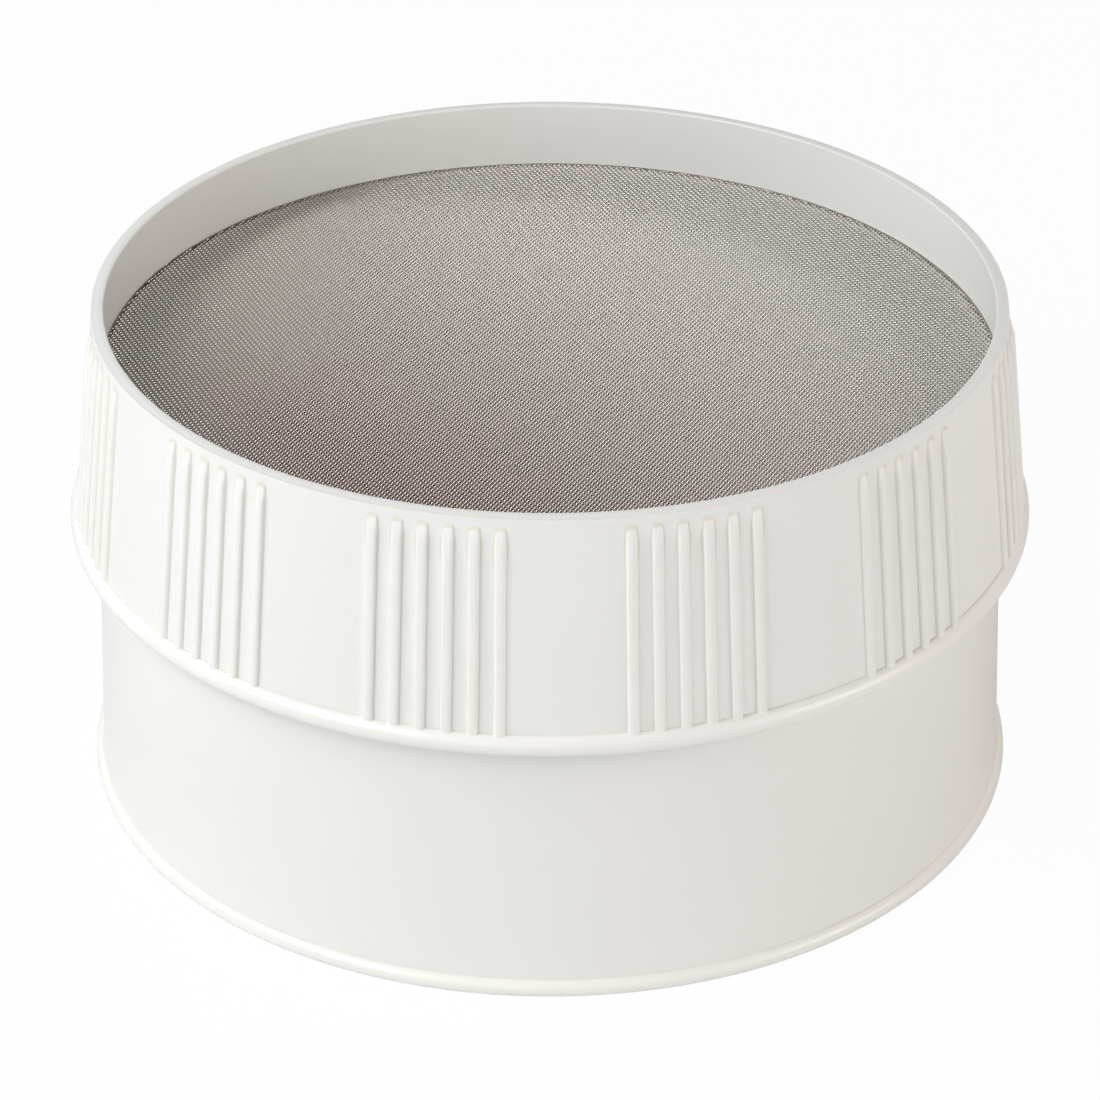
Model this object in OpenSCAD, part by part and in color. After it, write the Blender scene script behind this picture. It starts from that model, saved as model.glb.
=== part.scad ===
// Drum sieve for flour, in millimetres, standing on its foot with +Z up.
// A ribbed collar drops over the top of a tapered drum and turns to lock.
// It clamps a changeable screen: a disc of woven steel wire in a thin steel band.
// The origin is the centre of the foot's flat underside.

/* [Screen] */
// Clear diameter of the wire cloth, seen inside the collar
cloth_d = 301; // [200:1:400]
// Thickness of the woven cloth at the wires' crossings
cloth_t = 0.76; // [0.4:0.02:0.9]
// Height of the cloth margin that is folded down outside the drum's edge
margin_h = 6; // [4:0.5:12]
// Thickness of the steel band spot-welded round the folded margin
band_t = 0.5; // [0.4:0.05:0.8]
// Count of openings across the cloth, in the plain grid that stands for the fine weave
grid_across = 12; // [4:1:12]
// Width of the bars between those openings
grid_bar = 5; // [2:0.5:10]
// Angle of the weave to the front
weave_turn = 60; // [0:5:90]

/* [Drum] */
// Height of the drum, from the floor to the edge that carries the cloth
drum_h = 149; // [110:0.1:200]
// Wall of the drum, measured across
drum_wall = 4; // [3:0.1:6]
// Taper of the drum's wall, wider towards the foot
drum_taper = 2.28; // [0.5:0.01:3]
// Depth from the drum's outside to the shoulder that holds the screen's edge
shoulder_step = 1.65; // [1.2:0.05:1.9]
// Radius of the half-round bead at the foot
foot_bead_r = 3.1; // [2:0.1:4.5]
// Rounding of the edges inside the drum's two mouths
drum_edge_r = 0.8; // [0.4:0.1:1]

/* [Collar] */
// Height that the collar's rim stands above the cloth
collar_above = 24.4; // [15:0.1:35]
// Whole height of the collar, from the rim to the bead's underside
collar_h = 80; // [70:0.5:95]
// Wall of the collar above the cloth, measured across
collar_wall = 4.2; // [3.5:0.1:5]
// Flare of the collar, wider towards its mouth
collar_flare = 6.16; // [5:0.01:7]
// Rounding of the rim's outer edge
rim_outer_r = 2.9; // [1.5:0.1:3]
// Rounding of the rim's inner edge
rim_inner_r = 0.7; // [0.4:0.1:1]
// Radius of the half-round bead round the collar's mouth
mouth_bead_r = 3.7; // [2.5:0.1:4.5]

/* [Grip ribs] */
// Number of groups of grip ribs round the collar
rib_groups = 12; // [6:1:16]
// Number of ribs in one group
ribs_per_group = 6; // [3:1:7]
// Distance between two ribs, along the collar's outside at mid height
rib_pitch = 8.25; // [6:0.05:9]
// Width of one rib where it leaves the collar
rib_w = 3.5; // [2.5:0.1:4]
// Height that a rib stands out of the collar
rib_out = 1.5; // [1:0.05:1.6]

/* [Twist lock] */
// Number of lugs in the collar, and of hooks on the drum
lock_count = 6; // [3:1:6]
// Turn that locks the collar, clockwise seen from above
lock_turn = 26; // [22:0.5:26]
// Length of a lug along the collar, as an angle
lug_span = 18; // [12:0.5:18]
// Length of the stop at a hook's far end, as an angle
stop_span = 1.6; // [1:0.1:2.5]
// Height of a lug
lug_h = 5; // [3:0.1:6]
// Height of a hook
hook_h = 4; // [3:0.1:5]
// Height of the lugs' undersides above the collar's mouth
lug_up = 10; // [8:0.1:14]
// Clearance between a lug's top and the hook that it turns under
lock_gap = 0.3; // [0.2:0.05:0.6]
// Clearance across between a lug or hook and the other moulding's wall
lock_side_gap = 0.5; // [0.4:0.05:0.8]
// Height of the slope that leads a lug under its hook
lead_in_h = 1.4; // [0.8:0.1:2]
// Length of that slope along the turn
lead_in_len = 5; // [3:0.5:8]

/* [Hidden] */

// Fineness of round shapes, and points along a rounded edge and along a bead
round_fn = 180;
small_fn = 40;
edge_steps = 6;
bead_steps = 14;

// Running clearance between the screen's edge and the mouldings
screen_gap = 0.3;
// Clearance of the band round the folded margin
weld_gap = 0.03;
// Free height under the band and the folded margin
band_lift = 0.8;
// Distance that joined shapes reach into each other
sink = 0.6;
// Distance that a cut runs past what it cuts
overrun = 1;
// Height of the collar wall's lower edge above the mouth bead's underside
mouth_step = 0.15;
// Clearance along the turn between a locked lug and the hook's stop
stop_gap_angle = 0.3;
// Shares of the bead radii by which their centres lie inside the walls
mouth_sink_share = 0.24;
foot_sink_share = 0.18;

// Levels
cloth_z = drum_h + cloth_t;
rim_z = cloth_z + collar_above;
mouth_z = rim_z - collar_h;
mouth_bead_z = mouth_z + mouth_bead_r;
lug_z = mouth_z + lug_up;
hook_z = lug_z + lug_h + lock_gap;

// Reach of the collar's ledge over the cloth, before it covers the band
ledge_cover = 0.1;

// Radii of the screen at the drum's edge, from the clear cloth outwards
cloth_r = cloth_d / 2;
margin_out_r = cloth_r + ledge_cover;
margin_in_r = margin_out_r - cloth_t;
band_in_r = margin_out_r + weld_gap;
band_out_r = band_in_r + band_t;
shoulder_r = margin_in_r - screen_gap;
recess_r = band_out_r + screen_gap;

// The cloth is open inside the drum's mouth
grid_r = drum_r(drum_h) - drum_wall;
grid_step = 2 * grid_r / grid_across;

// The drum's shoulder is low enough for the margin and the band
shoulder_z = drum_h + cloth_t - margin_h - band_lift;

// Outside of the drum at a height
function drum_r(z) = shoulder_r + shoulder_step + (drum_h - z) * tan(drum_taper);

// Outside of the collar, its inside above the cloth, and its recess below it
function collar_r(z) = cloth_r + collar_wall + (cloth_z - z) * tan(collar_flare);
function well_r(z) = collar_r(z) - collar_wall;
function skirt_r(z) = recess_r + (cloth_z - z) * tan(collar_flare);

// Radius to the middle of the mouth bead
mouth_bead_c = collar_r(mouth_bead_z) - mouth_bead_r * mouth_sink_share;

// Points along a round edge from angle a0 to a1, about a centre
function arc(c, r, a0, a1, steps = edge_steps) = [for (i = [0 : steps])
    c + r * [cos(a0 + (a1 - a0) * i / steps), sin(a0 + (a1 - a0) * i / steps)]];

// Half-round foot bead, up to where it meets the leaning wall
function foot_bead() =
    arc([drum_r(foot_bead_r) - foot_bead_r * foot_sink_share, foot_bead_r], foot_bead_r,
        -90, drum_taper + acos(foot_sink_share * cos(drum_taper)), bead_steps);

// Block of the lock: a sector of a ring from angle a0 to a1
module ring_sector(r_in, r_out, z, h, a0, a1) {
    rotate([0, 0, a0])
        rotate_extrude(angle = a1 - a0, $fn = round_fn)
            translate([r_in, z]) square([r_out - r_in, h]);
}

// Place the children once for each lug, behind every other group of ribs
module round_the_lock() {
    for (i = [0 : lock_count - 1])
        rotate([0, 0, 180 / rib_groups + i * 360 / lock_count]) children();
}

// Drum wall with a beaded foot, a shoulder for the screen and rounded mouths
module drum_wall_shape() {
    foot_in_r = drum_r(0) - drum_wall;
    edge_in_r = drum_r(drum_h) - drum_wall;
    rotate_extrude($fn = round_fn)
        polygon(concat(
            foot_bead(),
            [[drum_r(shoulder_z), shoulder_z], [shoulder_r, shoulder_z]],
            arc([shoulder_r - drum_edge_r, drum_h - drum_edge_r], drum_edge_r, 0, 90),
            arc([edge_in_r + drum_edge_r, drum_h - drum_edge_r], drum_edge_r, 90, 180),
            arc([foot_in_r + drum_edge_r, drum_edge_r], drum_edge_r, 180, 270)
        ));
}

// Wedge cut from a hook's underside at the end where the lug comes in
module lead_in_cut(r_in, r_out) {
    translate([r_in - overrun, 0, hook_z])
        rotate([90, 0, 90])
            linear_extrude(height = r_out - r_in + 2 * overrun)
                polygon([
                    [-lead_in_len * (1 + overrun / lead_in_h), -overrun],
                    [overrun, -overrun],
                    [overrun, lead_in_h * (1 + overrun / lead_in_len)]
                ]);
}

// One hook that a lug turns under, with a stop at its far end
module hook() {
    near = -(lock_turn - lug_span / 2);
    far = -(lock_turn + lug_span / 2 + stop_gap_angle + stop_span);
    r_in = drum_r(hook_z + hook_h) - sink;
    r_out = skirt_r(hook_z + hook_h) - lock_side_gap;
    difference() {
        ring_sector(r_in, r_out, hook_z, hook_h, far, near);
        rotate([0, 0, near]) lead_in_cut(r_in, r_out);
    }
    ring_sector(r_in, r_out, lug_z, hook_z + hook_h - lug_z, far, far + stop_span);
}

module base_drum() {
    color("ivory") {
        drum_wall_shape();
        round_the_lock() hook();
    }
}

// Place along one side of the grid of opening i
function grid_place(i) = (i + 1 / 2 - grid_across / 2) * grid_step;

// Openings of the grid whose middles lie in the drum's mouth, cut off at its edge
module grid_openings() {
    intersection() {
        translate([0, 0, drum_h - overrun])
            cylinder(r = grid_r, h = cloth_t + 2 * overrun, $fn = round_fn);
        rotate([0, 0, weave_turn])
            for (i = [0 : grid_across - 1], j = [0 : grid_across - 1])
                if (norm([grid_place(i), grid_place(j)]) < grid_r)
                    translate([grid_place(i), grid_place(j), drum_h - 2 * overrun])
                        linear_extrude(height = cloth_t + 4 * overrun)
                            square(grid_step - grid_bar, center = true);
    }
}

// Cloth stretched over the drum's edge, its margin folded down outside
module wire_cloth() {
    color("darkgray")
        difference() {
            rotate_extrude($fn = round_fn)
                polygon([
                    [0, drum_h], [margin_in_r, drum_h], [margin_in_r, cloth_z - margin_h],
                    [margin_out_r, cloth_z - margin_h], [margin_out_r, cloth_z], [0, cloth_z]
                ]);
            grid_openings();
        }
}

module edge_band() {
    color("silver")
        rotate_extrude($fn = round_fn)
            translate([band_in_r, cloth_z - margin_h]) square([band_t, margin_h]);
}

// Flared collar wall with a rounded rim and a ledge that presses on the screen
module collar_wall_shape() {
    outer_c = [collar_r(rim_z - rim_outer_r) - rim_outer_r, rim_z - rim_outer_r];
    inner_c = [well_r(rim_z - rim_inner_r) + rim_inner_r, rim_z - rim_inner_r];
    rotate_extrude($fn = round_fn)
        polygon(concat(
            [[skirt_r(mouth_z), mouth_z + mouth_step], [mouth_bead_c, mouth_z + mouth_step]],
            [[collar_r(mouth_bead_z), mouth_bead_z - mouth_bead_r / 2]],
            arc(outer_c, rim_outer_r, 0, 90),
            arc(inner_c, rim_inner_r, 90, 180),
            [[cloth_r, cloth_z], [recess_r, cloth_z]]
        ));
}

// Half-round bead round the collar's mouth
module mouth_bead() {
    rotate_extrude($fn = round_fn)
        intersection() {
            translate([mouth_bead_c, mouth_bead_z]) circle(r = mouth_bead_r, $fn = small_fn);
            translate([mouth_bead_c - sink, mouth_z - overrun])
                square([sink + mouth_bead_r + overrun, 2 * (mouth_bead_r + overrun)]);
        }
}

// One grip rib: a round bar half sunk along the flare, with a tapered tip at the rim
module grip_rib() {
    r = rib_w / 2;
    low = mouth_bead_z + mouth_bead_r / 2;
    high = rim_z - rim_outer_r - r;
    length = (high - low) / cos(collar_flare);
    translate([collar_r(low) + rib_out - r, 0, low])
        rotate([0, -collar_flare, 0])
            rotate_extrude($fn = small_fn)
                polygon([[0, 0], [r, 0], [r, length], [r / 2, length + r], [0, length + r]]);
}

module rib_group() {
    step = rib_pitch / collar_r(mouth_z + collar_h / 2) * 180 / PI;
    for (i = [0 : ribs_per_group - 1])
        rotate([0, 0, (i - (ribs_per_group - 1) / 2) * step]) grip_rib();
}

// Lug inside the collar's mouth that turns under a hook of the drum
module lug() {
    lug_in_r = drum_r(lug_z) + lock_side_gap;
    lug_out_r = skirt_r(lug_z) + sink;
    ring_sector(lug_in_r, lug_out_r, lug_z, lug_h, -lug_span / 2, lug_span / 2);
}

module collar() {
    color("ivory") {
        collar_wall_shape();
        mouth_bead();
        for (g = [0 : rib_groups - 1])
            rotate([0, 0, (g + 1 / 2) * 360 / rib_groups]) rib_group();
        round_the_lock() lug();
    }
}

base_drum();
wire_cloth();
edge_band();
collar();
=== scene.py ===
import math

import bmesh
import bpy
from mathutils import Matrix, Vector


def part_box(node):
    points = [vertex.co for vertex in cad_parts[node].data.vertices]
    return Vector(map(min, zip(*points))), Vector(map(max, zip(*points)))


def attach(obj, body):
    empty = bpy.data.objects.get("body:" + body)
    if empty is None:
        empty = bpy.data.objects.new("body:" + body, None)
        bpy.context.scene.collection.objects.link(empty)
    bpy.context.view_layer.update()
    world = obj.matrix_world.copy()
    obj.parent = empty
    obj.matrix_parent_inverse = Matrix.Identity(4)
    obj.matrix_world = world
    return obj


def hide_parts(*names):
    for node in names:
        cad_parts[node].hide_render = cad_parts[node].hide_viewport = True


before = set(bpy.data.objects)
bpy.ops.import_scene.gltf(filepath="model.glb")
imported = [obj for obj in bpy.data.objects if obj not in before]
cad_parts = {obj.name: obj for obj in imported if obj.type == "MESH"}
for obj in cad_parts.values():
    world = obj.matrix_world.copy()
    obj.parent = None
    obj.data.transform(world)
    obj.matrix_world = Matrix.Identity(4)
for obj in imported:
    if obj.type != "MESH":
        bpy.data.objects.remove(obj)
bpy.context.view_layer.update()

DRUM_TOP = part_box("base_drum")[1][2]
CLOTH_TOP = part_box("wire_cloth")[1][2]
MARGIN_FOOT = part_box("wire_cloth")[0][2]
MARGIN_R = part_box("wire_cloth")[1][0]
BAND_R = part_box("edge_band")[1][0]
RIM_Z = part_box("collar")[1][2]
MOUTH_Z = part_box("collar")[0][2]

# Wire cloth: its radius inside the collar, its thickness, and the drum's shoulder under its fold
LEDGE_COVER = 0.0001
CLOTH_R = MARGIN_R - LEDGE_COVER
CLOTH_T = CLOTH_TOP - DRUM_TOP
SCREEN_GAP = 0.0003
SHOULDER_R = MARGIN_R - CLOTH_T - SCREEN_GAP

# Drum
DRUM_WALL = 0.004
DRUM_TAPER = 2.28
SHOULDER_STEP = 0.00165
SHOULDER_DROP = 0.0008
SHOULDER_Z = MARGIN_FOOT - SHOULDER_DROP
FOOT_BEAD_R = 0.0031
FOOT_BEAD_SINK = 0.18
DRUM_EDGE_R = 0.0008
ROUND_STEPS = 360

# Collar. BEAD_CLEAR keeps the first row of the wall off the bead below it.
COLLAR_WALL = 0.0042
COLLAR_FLARE = 6.16
RIM_OUTER_R = 0.0029
RIM_INNER_R = 0.0007
MOUTH_BEAD_R = 0.0037
MOUTH_BEAD_SINK = 0.24
BEAD_CLEAR = 0.0002
MOUTH_EDGE_R = 0.0008
RECESS_R = BAND_R + SCREEN_GAP

# Grip ribs. RIB_ROUND holds the angles that shape a crest, and RIB_SQUARE below 1 makes it flatter
# with steeper sides. RIB_START is where the ribs begin, as a share of the mouth bead's radius above
# its middle, and RIB_FADE is the length over which they sink into the wall at their upper ends.
# Vertices deeper in the wall than RIB_SINK stay where they are. PANEL_STEP is the widest angle
# between two columns of vertices.
RIB_GROUPS = 12
RIBS_PER_GROUP = 6
RIB_PITCH = 0.00825
RIB_W = 0.0035
RIB_OUT = 0.0015
RIB_FOOT = 0.0004
RIB_FOOT_H = 0.00018
RIB_SIDE = 0.0001
RIB_ROUND = (0, 18, 36, 54, 70)
RIB_SQUARE = 0.7
RIB_START = 0.75
RIB_FADE = 0.006
RIB_ROWS = 6
RIB_SINK = 0.0012
PANEL_STEP = 0.8

# Twist lock. LOCK_TURN, LUG_SPAN, STOP_SPAN, STOP_GAP and STOP_INSET are angles.
LOCK_COUNT = 6
LOCK_TURN = 26
LUG_SPAN = 18
STOP_SPAN = 1.6
STOP_GAP = 0.3
STOP_SET_BACK = 0.0001
STOP_INSET = 0.05
LUG_H = 0.005
LUG_RISE = 0.010
LUG_Z = MOUTH_Z + LUG_RISE
HOOK_H = 0.004
LOCK_GAP = 0.0003
LOCK_SIDE_GAP = 0.0005
HOOK_Z = LUG_Z + LUG_H + LOCK_GAP
LEAD_IN_H = 0.0014
LEAD_IN_LEN = 0.005
SINK = 0.0006

# Woven wire: two families of crimped wires, laid across the sieve at an angle
WIRE_D = 0.0003
CROWN_RISE = (CLOTH_T - WIRE_D) / 2
WEAVE_TURN = 61.2
WARP_PITCH = 0.00132
WEFT_PITCH = 0.001066
WIRE_SIDES = 6
PIECES_PER_FAMILY = 4

# Edge band: spot welded to the margin, which leaves a small gap. BAND_EDGE is the radius of its
# broken edges as a share of its thickness.
WELD_GAP = 0.00003
BAND_EDGE = 0.4

# Patterns. Clouds in the plastic are about 70 mm across and its ripples 11 mm, and the band's
# drawn lines lie 0.25 mm apart.
CLOUD_SCALE = 14.0
RIPPLE_SCALE = 90.0
STRIP_SCALE = (8.0, 8.0, 4000.0)

# Vertices nearer than this are merged in a piece, and along the seams between the collar's sectors
MERGE_DIST = 1e-7
SEAM_DIST = 1e-6

# The plastic gets a warm painted shade within CREASE_REACH of CREASE_H above the wall, and has its
# full tint for thick places at THICK_H. The wire's colours lighten from front left to back right,
# a painted light, over PAINTED_LIGHT_REACH each way from the middle.
CREASE_H = 0.0002
CREASE_REACH = 0.9 * CREASE_H
THICK_H = 3 * CREASE_H
PAINTED_LIGHT_REACH = 0.14

# Sockets of a Mix node that hold its two colours, and the mixed one
FIRST = 6
SECOND = 7
MIXED = 2

# Camera, found from the photographed circles
CAMERA_BACK = 1.2343
CAMERA_UP = 0.8008
CAMERA_SWING = -1.85
CAMERA_PITCH = 30.5
LENS = 135.9
SENSOR_W = 36

# Studio
LAMP_TARGET = (0, 0, 0.09)
LAMP_SIZE = 0.9
FLOOR_HALF = 4
FLOOR_GLOW = 0.96
FLOOR_PALE = "#f2f2f2"
# Dark brown floor inside the drum's foot, a painted shade
UNDER_DRUM_SHADE = "#33251d"
WHITE = "#ffffff"
FILL = "#f4f6fa"
FILL_STRENGTH = 0.05


def tan(degrees):
    return math.tan(math.radians(degrees))


def drum_r(z):
    return SHOULDER_R + SHOULDER_STEP + (DRUM_TOP - z) * tan(DRUM_TAPER)


def collar_r(z):
    return CLOTH_R + COLLAR_WALL + (CLOTH_TOP - z) * tan(COLLAR_FLARE)


def skirt_r(z):
    return RECESS_R + (CLOTH_TOP - z) * tan(COLLAR_FLARE)


def arc(r, z, radius, a0, a1, steps=7):
    """Points (r, z) along a round edge from angle a0 to a1, about a centre."""
    turns = [math.radians(a0 + (a1 - a0) * i / steps) for i in range(steps + 1)]
    return [(r + radius * math.cos(t), z + radius * math.sin(t)) for t in turns]


def bead_top(lean, sink):
    """Angle on a half-round bead where it meets the leaning wall above."""
    return lean + math.degrees(math.acos(sink * math.cos(math.radians(lean))))


# Meshes
def outline(bm, points):
    """Vertices and edges of a closed profile in the X-Z plane, ready to spin about Z."""
    verts = [bm.verts.new((r, 0, z)) for r, z in points]
    return verts + [bm.edges.new(pair) for pair in zip(verts, verts[1:] + verts[:1])]


def only_verts(geom):
    return [v for v in geom if isinstance(v, bmesh.types.BMVert)]


def turn_about_z(bm, verts, angle):
    """Turn vertices about Z by an angle in degrees."""
    bmesh.ops.rotate(bm, verts=verts, cent=(0, 0, 0),
                     matrix=Matrix.Rotation(math.radians(angle), 3, "Z"))


def spin(bm, geom, angle, steps, merge=False):
    """Spin geometry about Z by an angle in degrees, and return where it ends."""
    turned = bmesh.ops.spin(
        bm, geom=geom, cent=(0, 0, 0), axis=(0, 0, 1),
        angle=math.radians(angle), steps=steps, use_merge=merge, use_duplicate=False,
    )
    return turned["geom_last"]


def to_mesh(bm, name, material):
    mesh = bpy.data.meshes.new(name)
    bm.to_mesh(mesh)
    bm.free()
    mesh.materials.append(material)
    return mesh


def add_object(name, data):
    """Put a mesh, a light or a camera in the scene."""
    obj = bpy.data.objects.new(name, data)
    bpy.context.scene.collection.objects.link(obj)
    return obj


def piece(bm, name, body, material, replaced, smooth_angle=40):
    """Finish a bmesh as a piece that rides on a body and replaces a CAD node.

    Edges sharper than smooth_angle are kept sharp, and with 0 every edge is smooth.
    """
    bmesh.ops.remove_doubles(bm, verts=bm.verts, dist=MERGE_DIST)
    bmesh.ops.recalc_face_normals(bm, faces=bm.faces)
    mesh = to_mesh(bm, name, material)
    mesh.shade_smooth()
    if smooth_angle:
        mesh.set_sharp_from_angle(angle=math.radians(smooth_angle))
    obj = add_object(name, mesh)
    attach(obj, body)
    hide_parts(replaced)


# Materials
def linear(code):
    """A colour for a shader from its sRGB hex value."""
    parts = [int(code[i:i + 2], 16) / 255 for i in (1, 3, 5)]
    return [p / 12.92 if p <= 0.04045 else ((p + 0.055) / 1.055) ** 2.4 for p in parts] + [1]


def node(tree, kind, settings=None, links=None):
    """Add a shader node. Settings go to sockets, or to attributes if no socket has the name."""
    made = tree.nodes.new(kind)
    for key, value in (settings or {}).items():
        if isinstance(key, int) or key in made.inputs:
            made.inputs[key].default_value = value
        else:
            setattr(made, key, value)
    for key, source in (links or {}).items():
        tree.links.new(source, made.inputs[key])
    return made


def new_material(name):
    material = bpy.data.materials.new(name)
    material.use_nodes = True
    material.node_tree.nodes.clear()
    return material, material.node_tree


def moulded_polypropylene(name, colour, mottle, thick, crease_shade, wall_r):
    """Injection-moulded polypropylene: a soft gloss over a faint flow ripple, a little cloudy.

    Ribs and beads stand proud of the wall, whose radius at a level is wall_r. The plastic is
    thick there and has its own tint, and the creases at their feet get a warm painted shade.
    """
    material, tree = new_material(name)
    place = node(tree, "ShaderNodeTexCoord")
    cloud = node(tree, "ShaderNodeTexNoise", {"Scale": CLOUD_SCALE, "Detail": 2.0},
                 {"Vector": place.outputs["Object"]})
    wall = node(tree, "ShaderNodeMix",
                {"data_type": "RGBA", FIRST: linear(colour), SECOND: linear(mottle)},
                {0: cloud.outputs["Fac"]})
    axes = node(tree, "ShaderNodeSeparateXYZ", links={"Vector": place.outputs["Object"]})
    flat = node(tree, "ShaderNodeVectorMath", {"operation": "MULTIPLY", 1: (1, 1, 0)},
                {0: place.outputs["Object"]})
    reach = node(tree, "ShaderNodeVectorMath", {"operation": "LENGTH"}, {0: flat.outputs["Vector"]})
    upright = node(tree, "ShaderNodeMath", {"operation": "MULTIPLY_ADD", 1: wall_r(0) - wall_r(1)},
                   {0: axes.outputs["Z"], 2: reach.outputs["Value"]})
    proud = node(tree, "ShaderNodeMath", {"operation": "SUBTRACT", 1: wall_r(0)},
                 {0: upright.outputs["Value"]})
    full = node(tree, "ShaderNodeMapRange", {"From Min": CREASE_H, "From Max": THICK_H},
                {"Value": proud.outputs["Value"]})
    # Painted shade: a warm, slightly darker band in the creases at the feet of ribs and beads
    foot = node(tree, "ShaderNodeMath", {"operation": "COMPARE", 1: CREASE_H, 2: CREASE_REACH},
                {0: proud.outputs["Value"]})
    raised = node(tree, "ShaderNodeMix", {"data_type": "RGBA", SECOND: linear(thick)},
                  {0: full.outputs["Result"], FIRST: wall.outputs[MIXED]})
    tone = node(tree, "ShaderNodeMix", {"data_type": "RGBA", SECOND: linear(crease_shade)},
                {0: foot.outputs["Value"], FIRST: raised.outputs[MIXED]})
    ripple = node(tree, "ShaderNodeTexNoise", {"Scale": RIPPLE_SCALE, "Detail": 1.0},
                  {"Vector": place.outputs["Object"]})
    bump = node(tree, "ShaderNodeBump", {"Strength": 0.12, "Distance": 0.0002},
                {"Height": ripple.outputs["Fac"]})
    shader = node(tree, "ShaderNodeBsdfPrincipled",
                  {"Roughness": 0.3, "IOR": 1.49},
                  {"Base Color": tone.outputs[MIXED], "Normal": bump.outputs["Normal"]})
    node(tree, "ShaderNodeOutputMaterial", links={"Surface": shader.outputs["BSDF"]})
    return material


def drawn_steel_wire(name, crowns, film_and_shade, film_and_shade_top, highlight_and_polish_foot):
    """Drawn stainless wire, woven: painted highlight and polish on the crowns, painted shade in
    crimps.

    The crimps also carry a dull brown film. The film with its painted shade ends, and the polish
    with its painted highlight begins, at heights above the middle of the cloth. Both colours come
    as a pair, for a painted light that makes the wire lighter at the back right than at the front
    left.
    """
    material, tree = new_material(name)
    place = node(tree, "ShaderNodeTexCoord")
    axes = node(tree, "ShaderNodeSeparateXYZ", links={"Vector": place.outputs["Object"]})
    middle = (DRUM_TOP + CLOTH_TOP) / 2
    # By height: brown film with painted shade low in the crimps, polish with painted highlight on
    # the crowns
    rise = node(tree, "ShaderNodeMapRange",
                {"From Min": middle + film_and_shade_top, "From Max": middle + highlight_and_polish_foot},
                {"Value": axes.outputs["Z"]})
    # Painted light: both colours lighten from the front left to the back right
    aside = node(tree, "ShaderNodeMath", {"operation": "ADD"},
                 {0: axes.outputs["X"], 1: axes.outputs["Y"]})
    painted_light_slope = node(tree, "ShaderNodeMapRange", {"From Min": -PAINTED_LIGHT_REACH, "From Max": PAINTED_LIGHT_REACH},
                 {"Value": aside.outputs["Value"]})
    crown = node(tree, "ShaderNodeMix",
                 {"data_type": "RGBA", FIRST: linear(crowns[0]), SECOND: linear(crowns[1])},
                 {0: painted_light_slope.outputs["Result"]})
    film = node(tree, "ShaderNodeMix",
                {"data_type": "RGBA", FIRST: linear(film_and_shade[0]), SECOND: linear(film_and_shade[1])},
                {0: painted_light_slope.outputs["Result"]})
    tone = node(tree, "ShaderNodeMix", {"data_type": "RGBA"},
                {0: rise.outputs["Result"], FIRST: film.outputs[MIXED],
                 SECOND: crown.outputs[MIXED]})
    shader = node(tree, "ShaderNodeBsdfPrincipled", {"Roughness": 0.2, "Metallic": 1.0},
                  {"Base Color": tone.outputs[MIXED]})
    node(tree, "ShaderNodeOutputMaterial", links={"Surface": shader.outputs["BSDF"]})
    return material


def rolled_steel_strip():
    """Rolled stainless strip: satin, with fine lines drawn round the band."""
    material, tree = new_material("rolled_steel_strip")
    place = node(tree, "ShaderNodeTexCoord")
    stretch = node(tree, "ShaderNodeMapping", {"Scale": STRIP_SCALE},
                   {"Vector": place.outputs["Object"]})
    lines = node(tree, "ShaderNodeTexNoise", {"Scale": 1.0, "Detail": 2.0},
                 {"Vector": stretch.outputs["Vector"]})
    bump = node(tree, "ShaderNodeBump", {"Strength": 0.2, "Distance": 0.00005},
                {"Height": lines.outputs["Fac"]})
    shader = node(tree, "ShaderNodeBsdfPrincipled",
                  {"Base Color": linear("#c9c7c3"), "Roughness": 0.3, "Metallic": 1.0},
                  {"Normal": bump.outputs["Normal"]})
    node(tree, "ShaderNodeOutputMaterial", links={"Surface": shader.outputs["BSDF"]})
    return material


DRUM_PLASTIC = moulded_polypropylene(
    "drum_polypropylene", colour="#eeede8", mottle="#eae9e4", thick="#efede7", crease_shade="#e8e4da",
    wall_r=drum_r,
)
COLLAR_PLASTIC = moulded_polypropylene(
    "collar_polypropylene", colour="#efeeea", mottle="#ebeae5", thick="#f0eee9", crease_shade="#e4ded2",
    wall_r=collar_r,
)
# One steel in two copies: the warp lit, and the weft darker by painted shade
WARP_STEEL_LIT = drawn_steel_wire(
    "drawn_steel_warp_lit", crowns=("#fbf7f3", "#ffffff"), film_and_shade=("#422a20", "#8e8279"),
    film_and_shade_top=-0.0001, highlight_and_polish_foot=0.00015,
)
WEFT_STEEL_SHADED = drawn_steel_wire(
    "drawn_steel_weft_shaded", crowns=("#80706a", "#c0bab3"), film_and_shade=("#291812", "#766a61"),
    film_and_shade_top=0.0, highlight_and_polish_foot=0.0002,
)
BAND_STEEL = rolled_steel_strip()


# Drum
def ring_block(bm, r_in, r_out, z, height, a0, a1, steps):
    """A closed sector of a square ring from angle a0 to a1, and its vertices."""
    geom = outline(bm, [(r_in, z), (r_out, z), (r_out, z + height), (r_in, z + height)])
    start = bm.faces.new(only_verts(geom))
    turn_about_z(bm, start.verts[:], a0)
    before = set(bm.verts)
    spin(bm, [start] + start.edges[:] + start.verts[:], a1 - a0, steps)
    return [v for v in bm.verts if v not in before] + list(start.verts)


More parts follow.
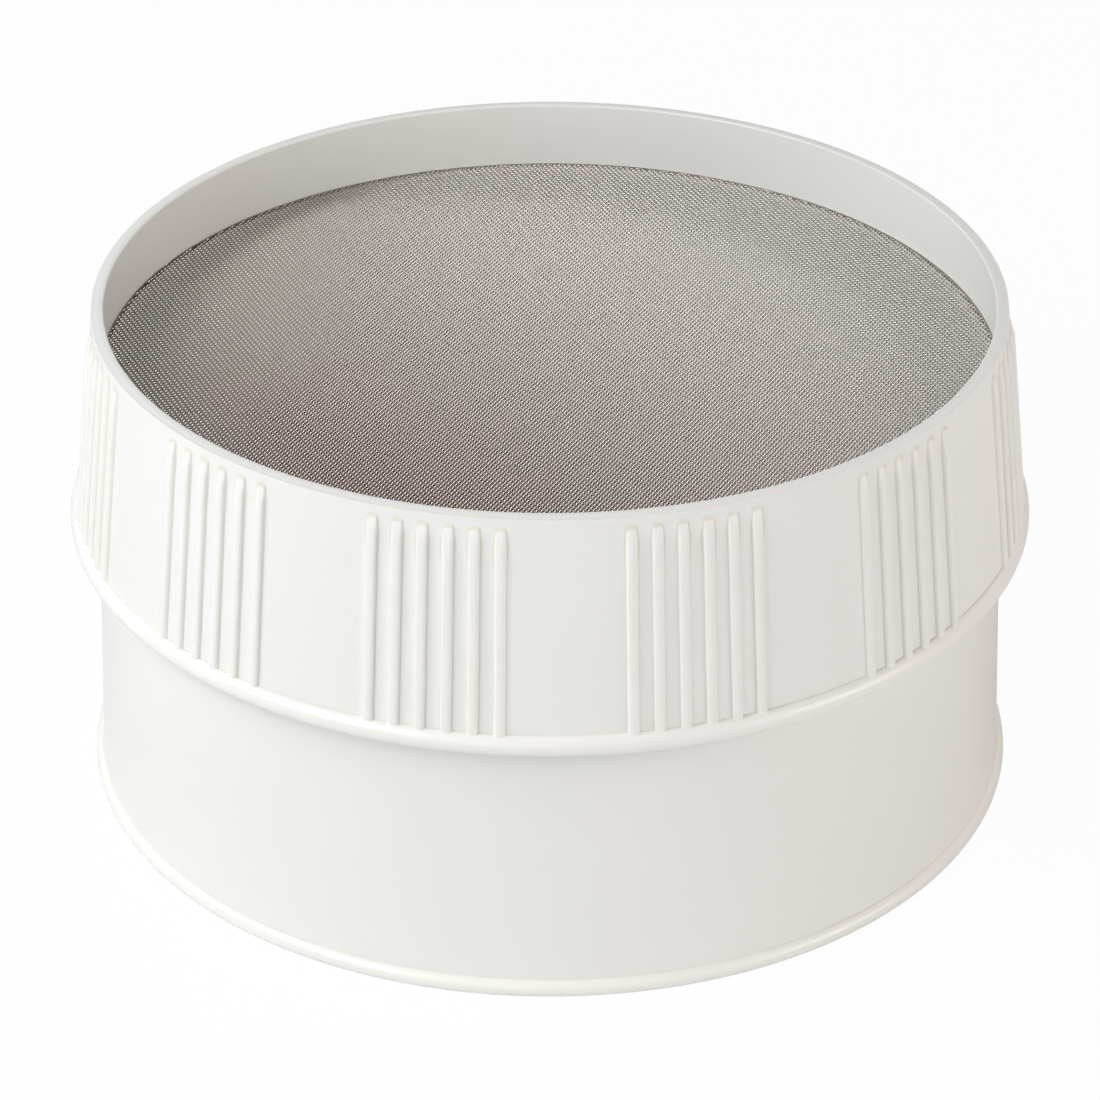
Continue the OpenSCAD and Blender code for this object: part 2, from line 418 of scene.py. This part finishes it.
def add_hook(bm, middle):
    """A hook that a lug turns under, with a stop at its far end and a lead-in slope.

    The stop is set back a little all round, so that its faces don't lie in the hook's.
    """
    near = middle - (LOCK_TURN - LUG_SPAN / 2)
    far = middle - (LOCK_TURN + LUG_SPAN / 2 + STOP_GAP + STOP_SPAN)
    r_in = drum_r(HOOK_Z + HOOK_H) - SINK
    r_out = skirt_r(HOOK_Z + HOOK_H) - LOCK_SIDE_GAP
    verts = ring_block(bm, r_in, r_out, HOOK_Z, HOOK_H, far, near, steps=40)
    ring_block(bm, r_in + STOP_SET_BACK, r_out - STOP_SET_BACK, LUG_Z, HOOK_Z - LUG_Z + HOOK_H / 2,
               far + STOP_INSET, far + STOP_SPAN, steps=3)
    for v in verts:
        behind = math.radians(near) - math.atan2(v.co.y, v.co.x)
        behind = (behind + math.pi) % math.tau - math.pi
        rise = LEAD_IN_H * (1 - behind * r_out / LEAD_IN_LEN)
        if v.co.z < HOOK_Z + SINK and rise > 0:
            v.co.z += rise


def lock_angles():
    """Angles of the lugs, behind every other group of ribs."""
    return [180 / RIB_GROUPS + i * 360 / LOCK_COUNT for i in range(LOCK_COUNT)]


def make_drum():
    bm = bmesh.new()
    foot_c = drum_r(FOOT_BEAD_R) - FOOT_BEAD_R * FOOT_BEAD_SINK
    edge_in = drum_r(DRUM_TOP) - DRUM_WALL
    foot_in = drum_r(0) - DRUM_WALL
    top = bead_top(DRUM_TAPER, FOOT_BEAD_SINK)
    points = arc(foot_c, FOOT_BEAD_R, FOOT_BEAD_R, -90, top, steps=16)
    points += [(drum_r(SHOULDER_Z), SHOULDER_Z), (SHOULDER_R, SHOULDER_Z)]
    points += arc(SHOULDER_R - DRUM_EDGE_R, DRUM_TOP - DRUM_EDGE_R, DRUM_EDGE_R, 0, 90)
    points += arc(edge_in + DRUM_EDGE_R, DRUM_TOP - DRUM_EDGE_R, DRUM_EDGE_R, 90, 180)
    points += arc(foot_in + DRUM_EDGE_R, DRUM_EDGE_R, DRUM_EDGE_R, 180, 270)
    for middle in lock_angles():
        add_hook(bm, middle)
    spin(bm, outline(bm, points), 360, ROUND_STEPS, merge=True)
    piece(bm, "drum_shell", "drum", DRUM_PLASTIC, "base_drum")


# Collar
def rib_section():
    """Half the cross-section of a rib: pairs of distance from its middle and height."""
    round_part = [(RIB_W / 2 * math.sin(t) ** RIB_SQUARE, RIB_OUT * math.cos(t) ** RIB_SQUARE)
                  for t in map(math.radians, RIB_ROUND)]
    return round_part + [(RIB_W / 2 + RIB_SIDE, RIB_FOOT_H), (RIB_W / 2 + RIB_FOOT, 0)]


SECTION = rib_section()
MIDDLE_R = collar_r((RIM_Z + MOUTH_Z) / 2)


def rib_height(distance):
    """Height of a rib at a distance from its middle line."""
    for (d0, h0), (d1, h1) in zip(SECTION, SECTION[1:]):
        if distance <= d1:
            return h0 + (h1 - h0) * (distance - d0) / (d1 - d0)
    return 0


def rib_angles():
    """Angles of the ribs in one sector, in degrees from its start."""
    middle = 180 / RIB_GROUPS
    step = math.degrees(RIB_PITCH / MIDDLE_R)
    return [middle + (i - (RIBS_PER_GROUP - 1) / 2) * step for i in range(RIBS_PER_GROUP)]


def sector_stations():
    """Angles in one sector at which the collar's outline is repeated."""
    across = [d for d, _ in SECTION]
    sides = [-d for d in reversed(across[1:])] + across
    to_angle = math.degrees(1 / MIDDLE_R)
    stations = [a + d * to_angle for a in rib_angles() for d in sides]
    stations += [0, 360 / RIB_GROUPS]
    filled = []
    for low, high in zip(sorted(stations), sorted(stations)[1:]):
        parts = max(1, math.ceil((high - low) / PANEL_STEP))
        filled += [low + (high - low) * k / parts for k in range(parts)]
    return filled + [360 / RIB_GROUPS]


BEAD_Z = MOUTH_Z + MOUTH_BEAD_R
BEAD_C = collar_r(BEAD_Z) - MOUTH_BEAD_R * MOUTH_BEAD_SINK
BEAD_TOP = bead_top(COLLAR_FLARE, MOUTH_BEAD_SINK)
RIB_LOW = BEAD_Z + MOUTH_BEAD_R * RIB_START
RIB_HIGH = RIM_Z - RIM_OUTER_R - RIB_W / 2


def collar_outline():
    """The collar's profile, from its mouth's inner edge outwards and up."""
    wall_low = BEAD_Z + MOUTH_BEAD_R * math.sin(math.radians(BEAD_TOP)) + BEAD_CLEAR
    wall_high = RIM_Z - RIM_OUTER_R
    tips = [RIB_HIGH + d for d, _ in SECTION[1:]]
    rows = [RIB_LOW + k * (RIB_HIGH - RIB_LOW) / RIB_ROWS for k in range(RIB_ROWS + 1)]
    rows += tips + [RIB_HIGH + RIB_W / 2 - RIB_FADE]
    mouth_c = skirt_r(MOUTH_Z + MOUTH_EDGE_R) + MOUTH_EDGE_R
    points = arc(mouth_c, MOUTH_Z + MOUTH_EDGE_R, MOUTH_EDGE_R, 180, 270, steps=5)
    points += arc(BEAD_C, BEAD_Z, MOUTH_BEAD_R, -90, BEAD_TOP, steps=24)
    points += [(collar_r(z), z) for z in sorted(rows) if wall_low < z < wall_high]
    points += arc(collar_r(wall_high) - RIM_OUTER_R, wall_high, RIM_OUTER_R, 0, 90, steps=10)
    well_r = collar_r(RIM_Z - RIM_INNER_R) - COLLAR_WALL
    points += arc(well_r + RIM_INNER_R, RIM_Z - RIM_INNER_R, RIM_INNER_R, 90, 180, steps=5)
    points += [(CLOTH_R, CLOTH_TOP), (RECESS_R, CLOTH_TOP)]
    return points


def raise_ribs(bm):
    """Move the collar's outer vertices out to the surface of the nearest rib."""
    sector = 360 / RIB_GROUPS
    angles = rib_angles()
    lean = math.radians(COLLAR_FLARE)
    for v in bm.verts:
        r = math.hypot(v.co.x, v.co.y)
        out = (r - collar_r(v.co.z)) * math.cos(lean)
        if v.co.z < BEAD_Z or out <= -RIB_SINK:
            continue
        turn = math.degrees(math.atan2(v.co.y, v.co.x)) % sector
        away = min(abs(turn - a) for a in angles)
        across = math.radians(away) * r
        along = max(RIB_LOW - v.co.z, v.co.z - RIB_HIGH, 0) / math.cos(lean)
        fade = min((RIB_HIGH + RIB_W / 2 - v.co.z) / RIB_FADE, 1)
        gain = rib_height(math.hypot(across, along)) * fade - out
        if gain > 0:
            v.co.x *= 1 + gain * math.cos(lean) / r
            v.co.y *= 1 + gain * math.cos(lean) / r
            v.co.z += gain * math.sin(lean)


def make_collar():
    """One sector with its group of ribs, repeated round the collar, and the lugs."""
    bm = bmesh.new()
    last = outline(bm, collar_outline())
    stations = sector_stations()
    for low, high in zip(stations, stations[1:]):
        last = spin(bm, last, high - low, 1)
    raise_ribs(bm)
    sector = bm.verts[:] + bm.edges[:] + bm.faces[:]
    for middle in lock_angles():
        ring_block(bm, drum_r(LUG_Z) + LOCK_SIDE_GAP, skirt_r(LUG_Z) + SINK, LUG_Z, LUG_H,
                   middle - LUG_SPAN / 2, middle + LUG_SPAN / 2, steps=36)
    for i in range(1, RIB_GROUPS):
        copy = bmesh.ops.duplicate(bm, geom=sector)["geom"]
        turn_about_z(bm, only_verts(copy), 360 * i / RIB_GROUPS)
    bmesh.ops.remove_doubles(bm, verts=bm.verts, dist=SEAM_DIST)
    piece(bm, "collar_shell", "collar", COLLAR_PLASTIC, "collar")


# Screen
def add_wire(bm, offset, pitch, first_up):
    """One crimped wire along X at a distance from the middle, ending at the cloth's edge."""
    half = math.sqrt(CLOTH_R ** 2 - offset ** 2)
    count = math.ceil(half / pitch)
    wire = bmesh.new()
    bmesh.ops.create_cone(wire, cap_ends=True, segments=WIRE_SIDES, radius1=WIRE_D / 2,
                          radius2=WIRE_D / 2, depth=2 * count * pitch,
                          matrix=Matrix.Rotation(math.pi / 2, 4, "Y"))
    long_edges = [e for e in wire.edges if e.calc_length() > WIRE_D]
    bmesh.ops.subdivide_edges(wire, edges=long_edges, cuts=2 * count - 1, use_grid_fill=True)
    for v in wire.verts:
        crown = round(v.co.x / pitch)
        up = 1 if (crown + first_up) % 2 == 0 else -1
        v.co = (max(-half, min(half, v.co.x)), v.co.y + offset, v.co.z + up * CROWN_RISE)
    mesh = bpy.data.meshes.new("wire")
    wire.to_mesh(mesh)
    wire.free()
    bm.from_mesh(mesh)
    bpy.data.meshes.remove(mesh)


def make_wires(name, turn, spacing, crossing, first_up, material):
    """All wires of one family, as a few pieces side by side."""
    count = int(CLOTH_R / spacing)
    offsets = list(range(-count, count + 1))
    share = math.ceil(len(offsets) / PIECES_PER_FAMILY)
    for part in range(PIECES_PER_FAMILY):
        bm = bmesh.new()
        for k in offsets[part * share:(part + 1) * share]:
            add_wire(bm, k * spacing, crossing, (k + first_up) % 2)
        turn_about_z(bm, bm.verts, turn)
        bmesh.ops.translate(bm, verts=bm.verts, vec=(0, 0, (DRUM_TOP + CLOTH_TOP) / 2))
        piece(bm, f"{name}_{part + 1}", "screen", material, "wire_cloth",
              smooth_angle=0)


def make_margin():
    """The cloth's folded margin, between the drum's shoulder and the band."""
    bm = bmesh.new()
    inside = MARGIN_R - CLOTH_T
    points = [(inside, DRUM_TOP), (inside, MARGIN_FOOT), (MARGIN_R, MARGIN_FOOT)]
    points += arc(inside, DRUM_TOP, CLOTH_T, 0, 90, steps=6)
    spin(bm, outline(bm, points), 360, ROUND_STEPS, merge=True)
    piece(bm, "cloth_margin", "screen", WEFT_STEEL_SHADED, "wire_cloth")


def make_band():
    """Steel strip round the folded margin, with its long edges broken."""
    box_low, box_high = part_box("edge_band")
    inside = MARGIN_R + WELD_GAP
    thick = box_high[0] - inside
    edge = thick * BAND_EDGE
    bm = bmesh.new()
    points = [(inside, box_low[2])]
    points += arc(box_high[0] - edge, box_low[2] + edge, edge, -90, 0, steps=3)
    points += arc(box_high[0] - edge, box_high[2] - edge, edge, 0, 90, steps=3)
    points += [(inside, box_high[2])]
    spin(bm, outline(bm, points), 360, ROUND_STEPS, merge=True)
    piece(bm, "band_strip", "screen", BAND_STEEL, "edge_band")


make_drum()
make_collar()
make_wires("warp_wires", WEAVE_TURN, WARP_PITCH, WEFT_PITCH, 0, WARP_STEEL_LIT)
make_wires("weft_wires", WEAVE_TURN + 90, WEFT_PITCH, WARP_PITCH, 1, WEFT_STEEL_SHADED)
make_margin()
make_band()


# Stage
def floor_material():
    """Studio floor: to the camera nearly as bright as the backdrop, and dark brown inside the drum,
    a painted shade.
    """
    material, tree = new_material("studio_floor")
    path = node(tree, "ShaderNodeLightPath")
    place = node(tree, "ShaderNodeTexCoord")
    reach = node(tree, "ShaderNodeVectorMath", {"operation": "LENGTH"},
                 {0: place.outputs["Object"]})
    outside = node(tree, "ShaderNodeMath", {"operation": "GREATER_THAN", 1: drum_r(0)},
                   {0: reach.outputs["Value"]})
    colour = node(tree, "ShaderNodeMix",
                  {"data_type": "RGBA", FIRST: linear(UNDER_DRUM_SHADE), SECOND: linear(FLOOR_PALE)},
                  {0: outside.outputs["Value"]})
    card = node(tree, "ShaderNodeBsdfDiffuse", links={"Color": colour.outputs[MIXED]})
    glow = node(tree, "ShaderNodeEmission", {"Color": linear(WHITE), "Strength": 1.0})
    seen = node(tree, "ShaderNodeMath", {"operation": "MULTIPLY"},
                {0: path.outputs["Is Camera Ray"], 1: outside.outputs["Value"]})
    shown = node(tree, "ShaderNodeMath", {"operation": "MULTIPLY", 1: FLOOR_GLOW},
                 {0: seen.outputs["Value"]})
    mix = node(tree, "ShaderNodeMixShader", links={
        0: shown.outputs["Value"], 1: card.outputs["BSDF"], 2: glow.outputs["Emission"],
    })
    node(tree, "ShaderNodeOutputMaterial", links={"Surface": mix.outputs["Shader"]})
    return material


def make_floor():
    bm = bmesh.new()
    bmesh.ops.create_grid(bm, x_segments=1, y_segments=1, size=FLOOR_HALF)
    floor = add_object("floor", to_mesh(bm, "floor", floor_material()))


def make_world():
    """White to the camera and in reflections, and a softer fill on the object."""
    world = bpy.data.worlds.new("studio")
    bpy.context.scene.world = world
    world.use_nodes = True
    tree = world.node_tree
    tree.nodes.clear()
    path = node(tree, "ShaderNodeLightPath")
    fill = node(tree, "ShaderNodeBackground", {"Color": linear(FILL), "Strength": FILL_STRENGTH})
    white = node(tree, "ShaderNodeBackground", {"Color": linear(WHITE), "Strength": 1.0})
    direct = node(tree, "ShaderNodeMath", {"operation": "ADD"},
                  {0: path.outputs["Is Camera Ray"], 1: path.outputs["Is Glossy Ray"]})
    shown = node(tree, "ShaderNodeMath", {"operation": "ADD", "use_clamp": True},
                 {0: direct.outputs["Value"], 1: path.outputs["Is Transmission Ray"]})
    mix = node(tree, "ShaderNodeMixShader", links={
        0: shown.outputs["Value"], 1: fill.outputs["Background"], 2: white.outputs["Background"],
    })
    node(tree, "ShaderNodeOutputWorld", links={"Surface": mix.outputs["Shader"]})


def add_lamp(name, place, power, colour=WHITE):
    """A square soft box that faces the middle of the sieve."""
    data = bpy.data.lights.new(name, "AREA")
    data.size = LAMP_SIZE
    data.energy = power
    data.color = linear(colour)[:3]
    lamp = add_object(name, data)
    lamp.location = place
    lamp.rotation_euler = (Vector(LAMP_TARGET) - Vector(place)).to_track_quat("-Z", "Y").to_euler()


def make_camera():
    swing = math.radians(CAMERA_SWING)
    data = bpy.data.cameras.new("camera")
    data.lens = LENS
    data.sensor_width = SENSOR_W
    camera = add_object("camera", data)
    camera.location = (CAMERA_BACK * math.sin(swing), -CAMERA_BACK * math.cos(swing), CAMERA_UP)
    camera.rotation_euler = (math.radians(90 - CAMERA_PITCH), 0, swing)
    bpy.context.scene.camera = camera


make_floor()
make_world()
add_lamp("key_softbox", (-1.1, -1.0, 1.1), 12.3)
add_lamp("left_softbox", (-1.3, -0.3, 1.5), 14.6, "#f3faff")
add_lamp("front_left_softbox", (-0.5, -1.6, 0.6), 3.9)
add_lamp("right_softbox", (1.5, -0.6, 0.6), 9.7, "#fff1ea")
add_lamp("front_right_softbox", (1.3, -1.0, 0.35), 4.2, "#e2f1ff")
add_lamp("back_left_softbox", (-1.2, 0.9, 1.0), 5)
add_lamp("back_right_softbox", (1.2, 0.9, 1.0), 4.5, "#fff3ea")
make_camera()

bpy.context.scene.view_settings.view_transform = "Standard"
